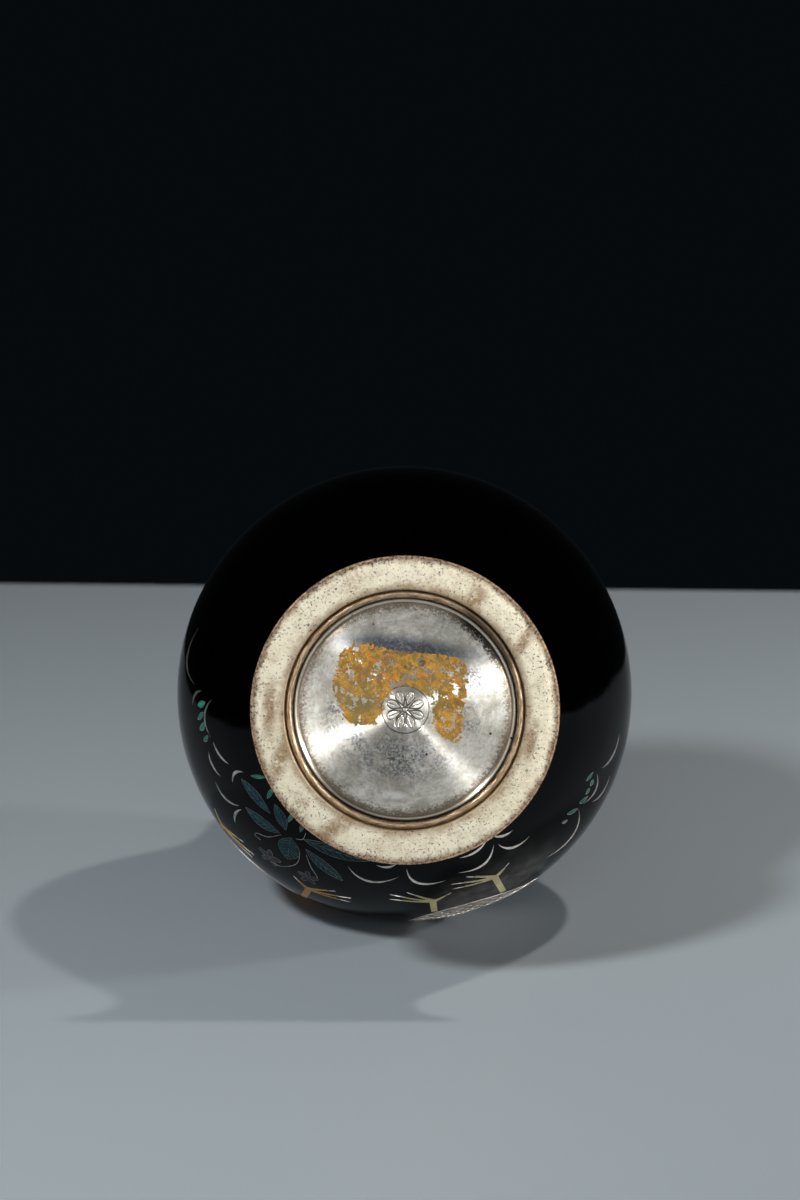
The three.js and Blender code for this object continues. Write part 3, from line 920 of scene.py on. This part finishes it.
def add_leaf(name, slot, base, end, width, rise):
    tip = between(base, end)
    outline = blade_outline(tip, width, rise, 20)
    field(f"{name}_enamel", outline, base, slot, [name])
    runs = [(resampled(outline, 0.45, True), FIELD_WIRE, 0)]
    if slot == "teal_enamel":
        runs += leaf_veins(tip, width, rise)
    else:
        runs.append((resampled(blade(tip, width, rise)[2], 0.5), FINE_WIRE, 0.4))
    wires(f"{name}_wires", base, runs, DULL_WIRE)


for kind, slot in (("leaf", "teal_enamel"), ("small_leaf", "green_enamel")):
    for number, shape in enumerate(LEAVES[kind], 1):
        add_leaf(f"{kind}_{number}", slot, *shape)

# Tendrils that curl out from the spray's joint, each through three or four places.
TENDRILS = [
    [(-47.1, 33.5), (-44.8, 38.4), (-41.8, 41), (-41.9, 42.6), (-44.1, 42)],
    [(-55, 34.2), (-56.4, 37.6), (-56.2, 41.2), (-53.4, 46.2), (-50.4, 47.5)],
    [(-57.3, 33.8), (-60.6, 37.4), (-63.4, 39.8), (-64.2, 41), (-63.2, 41.2)],
    [(-51.4, 31), (-53.2, 29.6), (-52.6, 27.2)],
]
for number, places in enumerate(TENDRILS, 1):
    curve = catmull_rom([between(places[0], place) for place in places], 60)
    wires(f"tendril_{number}", places[0], [(resampled(curve, 0.45), OUTLINE_WIRE, 0.5)])


def flower_outline(radius, samples=60):
    points = []
    for i in range(samples):
        angle = 2 * math.pi * i / samples
        r = radius * (0.72 + 0.28 * math.cos(5 * angle))
        points.append((r * math.cos(angle), r * math.sin(angle)))
    return points


def add_flower(name, radius, place):
    """Five petals with a wire round them, a wire between each pair and a small eye."""
    outline = flower_outline(radius)
    field(f"{name}_enamel", outline, place, "violet_enamel", [name])
    runs = [(resampled(outline, 0.4, True), FIELD_WIRE, 0), (circle(0.5, 12), FINE_WIRE, 0)]
    for k in range(5):
        a = math.radians(72 * k + 36)
        spoke = [(s * math.cos(a), s * math.sin(a)) for s in np.linspace(0.6, radius * 0.42, 6)]
        runs.append((spoke, FINE_WIRE, 0.5))
    wires(f"{name}_wires", place, runs, DULL_WIRE)


add_flower("flower_1", 4.2, (-49.5, 46))
add_flower("flower_2", 3.6, (-61.5, 43))

# ---- Birds: x forwards, y up, in mm from the ground under the body ----
# Each part's outline: its first point, then curves through (control x, control y, x, y).
BIRD_PARTS = {
    "body": ((15.5, 33), [(22, 21, 12, 12.5), (0, 5, -14, 14), (-22, 19, -27, 27), (-10, 19, 4, 25),
                          (9, 29, 15.5, 33)]),
    "wing": ((8, 34.5), [(2, 24, -12, 25), (-22, 26, -32, 34), (-20, 38, -8, 40), (4, 41, 8, 34.5)]),
    "tail": ((-29, 28), [(-36, 26, -43, 34), (-47, 42, -45, 52), (-40, 46, -38, 40), (-34, 36, -29, 28)]),
    "neck": ((9.5, 36.5), [(13, 36, 17, 35.5), (20.5, 43, 21.5, 48), (26.5, 48.5, 27, 50.5),
                           (24.5, 51.5, 23, 53.5), (18.5, 57, 15.5, 52), (14, 44, 9.5, 36.5)]),
    "wattle": ((22, 47), [(25, 46, 24.5, 43), (22, 41.5, 21.6, 44.5), (21.6, 46, 22, 47)]),
}
# A leg's foot as an outline about its hub, and the claws as lines from there.
LEG = [
    (-1, 0.8), (-4, -1.7), (-3.7, -2.3), (-0.5, -0.7), (4.8, -5.3), (5.3, -4.8), (1.7, -1.1),
    (8.8, -4.4), (9.1, -3.7), (2.4, -0.4), (9.1, -2), (9.3, -1.3), (1.1, 0.8),
]
CLAWS = [((-3.8, -2), (-5.9, -3.4)), ((5, -5), (7.4, -6.9)), ((8.9, -4), (12.6, -5.3)),
         ((9.2, -1.6), (13, -2.3))]


def bird_outline(part, facing):
    first, curves = BIRD_PARTS[part]
    points = [first]
    for cx, cy, x, y in curves:
        points += bezier(points[-1], (cx, cy), (x, y), 8)
    return [(x * facing, y) for x, y in points[:-1]]


def plumage(part, outline, facing):
    """Feather wires: rows of small scallops on the body, long strokes on wing, tail and neck."""
    edge = [(x * facing, y) for x, y in outline]
    runs = []
    if part == "body":
        for row in range(10):
            for column in range(-11, 8):
                x, y = column * 3.1 + (row % 2) * 1.55, 6 + row * 2.5
                scallop = [(x + 1.35 * math.cos(a), y - 1.15 * math.sin(a))
                           for a in np.linspace(0, math.pi, 7)]
                if all(inside(px, py, edge) for px, py in scallop):
                    runs.append(scallop)
    else:
        lines = {"wing": ((6, 34), (-30, 34.2), 7), "tail": ((-30, 30), (-44, 48), 5),
                 "neck": ((13, 37), (20, 51), 4)}
        start, end, count = lines[part]
        along = Vector(end) - Vector(start)
        side = Vector((-along.y, along.x)).normalized()
        for k in range(count):
            shift = (k - (count - 1) / 2) * (1.7 if part == "wing" else 1.5)
            run = []
            for s in np.linspace(0.02, 0.98, 40):
                point = Vector(start) + along * s + side * shift * math.sin(math.pi * (0.12 + 0.8 * s))
                if inside(point.x, point.y, edge):
                    run.append(tuple(point))
            if len(run) > 4:
                runs.append(run)
    return [[(x * facing, y) for x, y in run] for run in runs]


def add_bird(name, anchor, facing, legs, slots):
    for part, slot in slots.items():
        if part == "leg":
            continue
        outline = bird_outline(part, facing)
        field(f"{name}_{part}_enamel", outline, anchor, slot, [f"{name}_{part}"])
        runs = [(resampled(outline, 0.6, True), OUTLINE_WIRE, 0)]
        if part != "wattle":
            runs += [(run, FINE_WIRE, 0.4) for run in plumage(part, outline, facing)]
        if part == "neck":
            runs.append((circle(0.45, 12, 19.3 * facing, 52.2), FINE_WIRE, 0))
        wires(f"{name}_{part}_wires", anchor, runs)
    for number, (hub, length) in enumerate(legs, 1):
        outline = [(x * facing, y) for x, y in [(-0.8, length), *LEG, (1, length)]]
        field(f"{name}_leg_{number}_enamel", outline, hub, slots["leg"], [f"{name}_leg_{number}"])
        runs = []
        for start, end in CLAWS:
            claw = [(start[0] * facing, start[1]), (end[0] * facing, end[1])]
            runs.append((resampled(claw, 0.6), CLAW_WIRE, 0.75))
        wires(f"{name}_claws_{number}", hub, runs)


add_bird("left_bird", (-106, 43), 1, [((-98, 43.6), 9), ((-117, 41), 13.8)],
         {"body": "grey_enamel", "wing": "grey_enamel", "tail": "grey_enamel", "neck": "cream_enamel",
          "wattle": "russet_enamel", "leg": "cream_enamel"})
add_bird("right_bird", (-51.5, 54), -1, [((-63.3, 49.8), 16), ((-35.5, 58), 11.4)],
         {"body": "russet_enamel", "wing": "teal_enamel", "tail": "green_enamel", "neck": "ochre_enamel",
          "wattle": "russet_enamel", "leg": "ochre_enamel"})

# ---- Stage: the table the vase lies on, and a floor for views of it standing ----
TABLE_TILT = math.radians(14.3)
TABLE_DEPTH = 0.0864  # from the foot's centre down to the table
TABLE_BACK = 0.421
TABLE_BACK_YAW = math.tan(math.radians(2.0))
RIGHT = Vector((-1, 0, 0))
FORWARD = Vector((0, math.sin(TABLE_TILT), math.cos(TABLE_TILT)))
UP = Vector((0, math.cos(TABLE_TILT), -math.sin(TABLE_TILT)))


def on_table(right, forward, up=0.0):
    """A point given in metres to the right, away from the camera and above the table's plane."""
    return RIGHT * right + FORWARD * forward + UP * (up - TABLE_DEPTH)


def one_sided(name, base, roughness):
    """A stage finish that is seen only from its front."""
    made = Finish(name)
    cloud = made.noise(6, 3)
    made.set(Base_Color=made.mix(cloud, base, tuple(c * 0.94 for c in base)), Roughness=roughness)
    back = made.node("ShaderNodeNewGeometry").outputs["Backfacing"]
    clear = made.node("ShaderNodeBsdfTransparent").outputs[0]
    picked = made.mix_shaders(back, made.shader.outputs[0], clear)
    made.feed(made.tree.nodes["Material Output"].inputs[0], picked)
    return made.material


def stage_plane(name, corners, finish):
    mesh = mesh_from(corners, [tuple(range(len(corners)))])
    mesh.name = name
    mesh.materials.append(finish)
    plane = bpy.data.objects.new(name, mesh)
    scene.collection.objects.link(plane)
    return plane


TABLE_LEFT = -0.34
TABLE_RIGHT = 0.55
TABLE_FRONT = -0.62
table = stage_plane("stage_table", [
    on_table(TABLE_LEFT, TABLE_FRONT), on_table(TABLE_RIGHT, TABLE_FRONT),
    on_table(TABLE_RIGHT, TABLE_BACK - TABLE_RIGHT * TABLE_BACK_YAW),
    on_table(TABLE_LEFT, TABLE_BACK - TABLE_LEFT * TABLE_BACK_YAW),
], one_sided("stage_table_grey", (0.36, 0.39, 0.41), 0.5))
table.visible_shadow = False
table.visible_diffuse = False

FLOOR_R = 1.6
FLOOR_Z = -0.0002
floor_corners = [(x, y, FLOOR_Z) for x, y in circle(FLOOR_R, 48)]
floor = stage_plane("stage_floor", floor_corners, one_sided("stage_floor_pale", (0.80, 0.81, 0.82), 0.6))
floor.visible_shadow = False
floor.visible_diffuse = False
floor.visible_glossy = False


# ---- Light ----
def lamp(name, place, target, size, power, colour=(1, 1, 1), **visible):
    light = bpy.data.lights.new(name, "AREA")
    light.shape = "DISK"
    light.size = size
    light.energy = power
    light.color = colour
    holder = bpy.data.objects.new(name, light)
    holder.location = place
    holder.rotation_euler = (Vector(target) - Vector(place)).to_track_quat("-Z", "Y").to_euler()
    for kind, shown in visible.items():
        setattr(holder, kind, shown)
    scene.collection.objects.link(holder)
    return holder


BELLY = Vector((0, 0, 0.068))


def beside_belly(right, forward, up):
    return BELLY + RIGHT * right + FORWARD * forward + UP * up


MATT_ONLY = {"visible_glossy": False}  # lights the table and matt parts and shows in no reflection
METAL_ONLY = {"visible_diffuse": False}  # shows only as a reflection, mostly in the metal of the base
lamp("key_hard", beside_belly(0.266, 0.076, 0.582), BELLY, 0.03, 1.42, (1.0, 0.97, 0.93), **MATT_ONLY)
lamp("side_right", beside_belly(0.70, 0.003, 0.21), BELLY, 0.06, 1.9, (0.92, 0.97, 1.0), **MATT_ONLY)
lamp("side_left", beside_belly(-0.385, -0.428, 0.556), BELLY, 0.10, 4.6, (0.90, 0.96, 1.0), **MATT_ONLY)
lamp("front_fill", (0, 0.25, -1.35), (0, 0, 0), 0.9, 3.5, (0.88, 0.95, 1.0), **MATT_ONLY)
lamp("metal_panel", (0.1, 0.30, -1.30), (0, 0, 0), 0.9, 1.8, (1.0, 0.98, 0.95), **METAL_ONLY)
lamp("metal_right", (-0.66, 0.06, -1.10), (0, 0, 0), 0.6, 3.7, (1.0, 0.99, 0.97), **METAL_ONLY)
lamp("metal_left", (0.66, 0.06, -1.10), (0, 0, 0), 0.6, 1.4, (1.0, 0.99, 0.97), **METAL_ONLY)
lamp("rim_glint", (-0.28, 0.07, -0.26), (-0.03, 0, 0), 0.08, 0.3, **METAL_ONLY)


def streak_lamp(name, azimuth, power):
    """A small lamp well off the base's axis, whose reflection the turning marks draw out into a streak."""
    off_axis = math.radians(47)
    distance = 0.8
    across = math.sin(off_axis)
    turn = math.radians(azimuth)
    direction = Vector((-across * math.cos(turn), across * math.sin(turn), -math.cos(off_axis)))
    place = direction * distance
    lamp(name, place, (0, 0, 0), 0.05, power, **METAL_ONLY)


streak_lamp("streak_right", 16.5, 3.0)
streak_lamp("streak_upper_left", 137, 3.0)

# The lamps above belong to the lying view: they leave the standing view's floor alone, and the coat,
# which would mirror them one by one.
not_lit = bpy.data.collections.new("left_out_of_lying_light")
for number, piece in enumerate((floor, coat)):
    not_lit.objects.link(piece)
    not_lit.collection_objects[number].light_linking.link_state = "EXCLUDE"
for holder in [o for o in scene.objects if o.type == "LIGHT"]:
    holder.light_linking.receiver_collection = not_lit

lamp("standing_front", (-0.5, -1.1, 0.9), (0, 0, 0.07), 0.7, 9.0, (1.0, 0.98, 0.96))


def world_light():
    """Near-black beyond the mouth, pale grey all round for a standing view, and little light from either."""
    world = bpy.data.worlds.new("studio")
    world.use_nodes = True
    sky = NodeTree(world.node_tree)
    sky.tree.nodes.clear()
    direction = sky.node("ShaderNodeTexCoord").outputs["Generated"]
    split = sky.node("ShaderNodeSeparateXYZ", Vector=direction)
    up = sky.node("ShaderNodeMapRange", Value=split.outputs[2], From_Min=0.6, From_Max=0.8).outputs[0]

    def shade(*colour):
        return sky.node("ShaderNodeBackground", Color=(*colour, 1)).outputs[0]

    seen = sky.mix_shaders(up, shade(0.45, 0.46, 0.47), shade(0.0020, 0.0032, 0.0042))
    camera_ray = sky.node("ShaderNodeLightPath").outputs["Is Camera Ray"]
    sky.node("ShaderNodeOutputWorld", Surface=sky.mix_shaders(camera_ray, shade(0.008, 0.009, 0.010), seen))
    scene.world = world


world_light()
scene.view_settings.view_transform = "Standard"

# ---- Camera ----
CAMERA_PLACE = (0.0023, 0.0645, -0.8532)
LOOK = Vector((-0.001, -0.0386, 0.9993)).normalized()
camera_data = bpy.data.cameras.new("camera")
camera_data.lens = 90
camera_data.sensor_width = 36
camera_data.dof.use_dof = True
camera_data.dof.focus_distance = 0.885  # just behind the base, which leaves the table's far edge soft
camera_data.dof.aperture_fstop = 15
camera = bpy.data.objects.new("camera", camera_data)
side = LOOK.cross(Vector((0, 0.99925, 0.0386))).normalized()
top = side.cross(LOOK)
turn = Matrix((side, top, -LOOK)).transposed().to_4x4()
camera.matrix_world = Matrix.Translation(CAMERA_PLACE) @ turn
scene.collection.objects.link(camera)
scene.camera = camera
